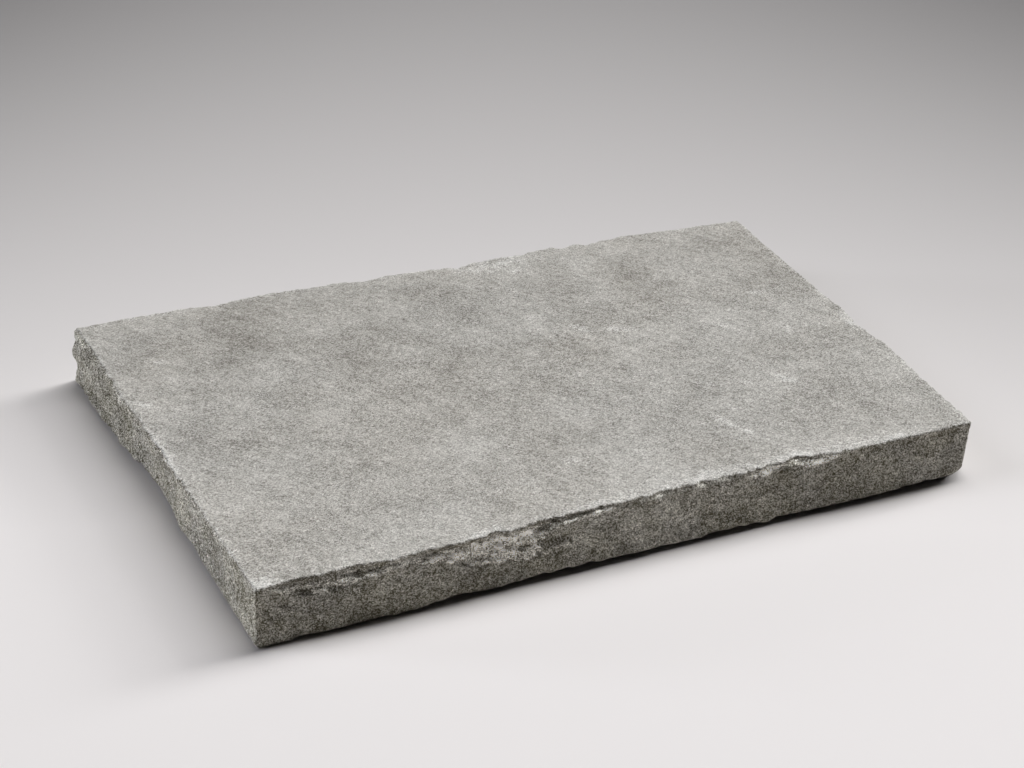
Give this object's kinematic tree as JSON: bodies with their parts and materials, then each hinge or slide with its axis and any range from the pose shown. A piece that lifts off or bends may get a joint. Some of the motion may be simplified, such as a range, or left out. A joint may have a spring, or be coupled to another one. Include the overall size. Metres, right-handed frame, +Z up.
{
  "type": "slate slab",
  "caption": "Thick flat rectangular slate slab with a level riven top, hand-cropped sides, spalled arrises and a flat underside to lie on.",
  "frame": {"origin": "middle of the slab's footprint, on its underside", "axes": "+X along the slab's long sides, +Y from the spalled front side to the back, +Z up out of the riven top"},
  "size_m": [0.6339, 0.4623, 0.05],
  "materials": {
    "riven_slate": "dry riven grey stone, rough and matt"
  },
  "bodies": {
    "root": {"slate_slab": "riven_slate"}
  },
  "joints": []
}
